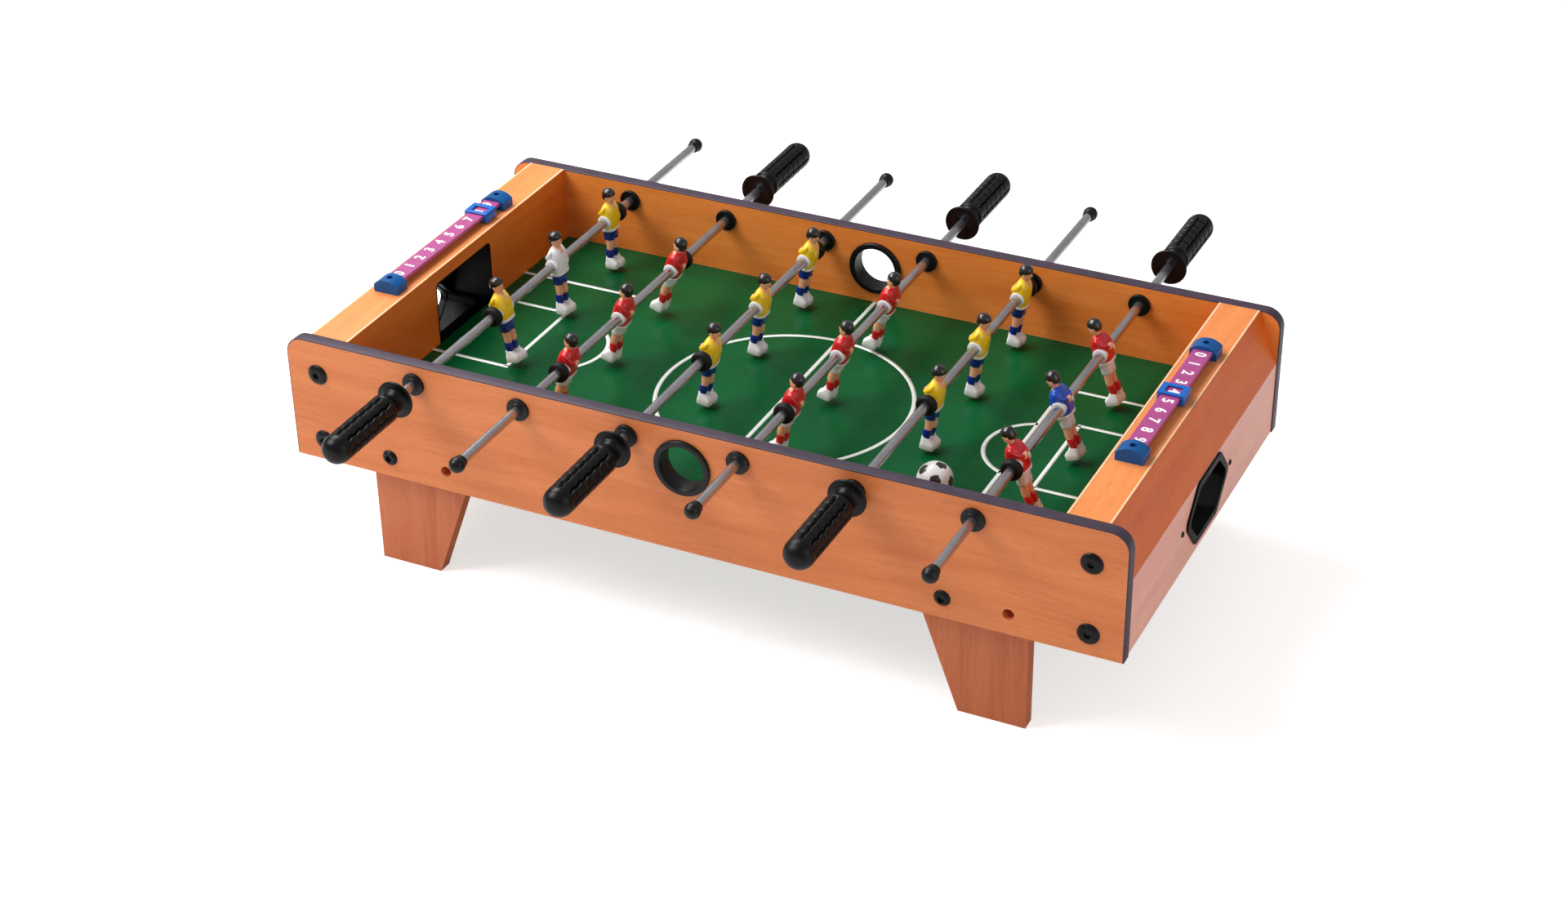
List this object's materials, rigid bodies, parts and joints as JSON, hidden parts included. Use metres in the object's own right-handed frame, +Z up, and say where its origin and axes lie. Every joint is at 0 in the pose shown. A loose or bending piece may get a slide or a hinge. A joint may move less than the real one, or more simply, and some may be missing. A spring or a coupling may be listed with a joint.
{
  "type": "foosball table",
  "caption": "Tabletop foosball table: laminate cabinet on tapered legs, sliding and spinning player rods with grips, goal cups, ball rings and sliding score counters.",
  "frame": {"origin": "on the supporting surface, under the middle of the playfield, midway between the feet", "axes": "+X along the table towards the right-hand goal, +Y from the front panel to the back panel (along the rods), +Z up"},
  "size_m": [0.6916, 0.627, 0.2048],
  "materials": {
    "side_board": "wood-print laminate, satin",
    "inner_board": "wood-print laminate, satin",
    "top_board": "wood-print laminate, satin",
    "end_board": "wood-print laminate, satin",
    "leg_board": "wood-print laminate, satin",
    "raw_wood": "bare softwood",
    "pitch": "green printed board, gloss lacquer",
    "edge_band": "dark moulded edge band",
    "black_moulding": "black moulded plastic",
    "black_bolt": "black oxide",
    "plain_nut": "zinc plated",
    "score_strip": "printed strip with digits",
    "score_blue": "blue moulded plastic",
    "slider_blue": "bright blue moulded plastic",
    "rod_steel": "plated tube, polished",
    "grip_black": "glossy black moulding",
    "stop_rubber": "black rubber",
    "yellow_team": "moulded and painted figures",
    "red_team": "moulded and painted figures",
    "ball_white": "white ball with dark panels"
  },
  "bodies": {
    "table": {"front_panel": "side_board", "back_panel": "side_board", "edge_bands": "edge_band", "left_goal_wall": "inner_board", "right_goal_wall": "inner_board", "left_top_board": "top_board", "right_top_board": "top_board", "slope_boards": "end_board", "left_end_panel": "end_board", "right_end_panel": "end_board", "corner_blocks": "raw_wood", "playfield": "pitch", "leg_front_left": "leg_board", "leg_front_right": "leg_board", "leg_back_left": "leg_board", "leg_back_right": "leg_board", "rod_bushes": "black_moulding", "bush_collars": "black_moulding", "ball_rings": "black_moulding", "left_ball_cup": "black_moulding", "right_ball_cup": "black_moulding", "frame_bolts": "black_bolt", "leg_bolts": "black_bolt", "leg_nuts": "plain_nut", "trim_screws": "black_bolt", "score_bars": "score_strip", "score_caps": "score_blue"},
    "rod_carrier_1": {"stops_1": "stop_rubber"},
    "rod_set_1": {"rod_1": "rod_steel", "handle_1": "grip_black", "rod_cap_1": "grip_black", "players_1": "yellow_team"},
    "rod_carrier_2": {"stops_2": "stop_rubber"},
    "rod_set_2": {"rod_2": "rod_steel", "handle_2": "grip_black", "rod_cap_2": "grip_black", "players_2": "red_team"},
    "rod_carrier_3": {"stops_3": "stop_rubber"},
    "rod_set_3": {"rod_3": "rod_steel", "handle_3": "grip_black", "rod_cap_3": "grip_black", "players_3": "yellow_team"},
    "rod_carrier_4": {"stops_4": "stop_rubber"},
    "rod_set_4": {"rod_4": "rod_steel", "handle_4": "grip_black", "rod_cap_4": "grip_black", "players_4": "red_team"},
    "rod_carrier_5": {"stops_5": "stop_rubber"},
    "rod_set_5": {"rod_5": "rod_steel", "handle_5": "grip_black", "rod_cap_5": "grip_black", "players_5": "yellow_team"},
    "rod_carrier_6": {"stops_6": "stop_rubber"},
    "rod_set_6": {"rod_6": "rod_steel", "handle_6": "grip_black", "rod_cap_6": "grip_black", "players_6": "red_team"},
    "left_slider": {"left_score_slider": "slider_blue"},
    "right_slider": {"right_score_slider": "slider_blue"},
    "ball_body": {"ball": "ball_white"}
  },
  "joints": [
    {"name": "rod_1_slide", "type": "slide", "parent": "table", "child": "rod_carrier_1", "axis": [0, 1, 0], "range_m": [-0.1002, 0.0178]},
    {"name": "rod_1_spin", "type": "hinge", "parent": "rod_carrier_1", "child": "rod_set_1", "pos_m": [-0.2295, 0.0412, 0.1767], "axis": [0, 1, 0], "continuous": true},
    {"name": "rod_2_slide", "type": "slide", "parent": "table", "child": "rod_carrier_2", "axis": [0, 1, 0], "range_m": [-0.0445, 0.0735]},
    {"name": "rod_2_spin", "type": "hinge", "parent": "rod_carrier_2", "child": "rod_set_2", "pos_m": [-0.1377, -0.0145, 0.1767], "axis": [0, 1, 0], "continuous": true},
    {"name": "rod_3_slide", "type": "slide", "parent": "table", "child": "rod_carrier_3", "axis": [0, 1, 0], "range_m": [-0.1047, 0.0133]},
    {"name": "rod_3_spin", "type": "hinge", "parent": "rod_carrier_3", "child": "rod_set_3", "pos_m": [-0.0459, 0.0457, 0.1767], "axis": [0, 1, 0], "continuous": true},
    {"name": "rod_4_slide", "type": "slide", "parent": "table", "child": "rod_carrier_4", "axis": [0, 1, 0], "range_m": [-0.0602, 0.0578]},
    {"name": "rod_4_spin", "type": "hinge", "parent": "rod_carrier_4", "child": "rod_set_4", "pos_m": [0.0459, 0.0012, 0.1767], "axis": [0, 1, 0], "continuous": true},
    {"name": "rod_5_slide", "type": "slide", "parent": "table", "child": "rod_carrier_5", "axis": [0, 1, 0], "range_m": [-0.1148, 0.0032]},
    {"name": "rod_5_spin", "type": "hinge", "parent": "rod_carrier_5", "child": "rod_set_5", "pos_m": [0.1377, 0.0558, 0.1767], "axis": [0, 1, 0], "continuous": true},
    {"name": "rod_6_slide", "type": "slide", "parent": "table", "child": "rod_carrier_6", "axis": [0, 1, 0], "range_m": [-0.0553, 0.0627]},
    {"name": "rod_6_spin", "type": "hinge", "parent": "rod_carrier_6", "child": "rod_set_6", "pos_m": [0.2295, -0.0037, 0.1767], "axis": [0, 1, 0], "continuous": true},
    {"name": "left_score_slide", "type": "slide", "parent": "table", "child": "left_slider", "axis": [0, 1, 0], "range_m": [-0.1225, 0.0104]},
    {"name": "right_score_slide", "type": "slide", "parent": "table", "child": "right_slider", "axis": [0, 1, 0], "range_m": [-0.07403, 0.05887]},
    {"name": "ball_lift", "type": "slide", "parent": "table", "child": "ball_body", "axis": [0, 0, 1], "range_m": [0, 0.12]}
  ]
}
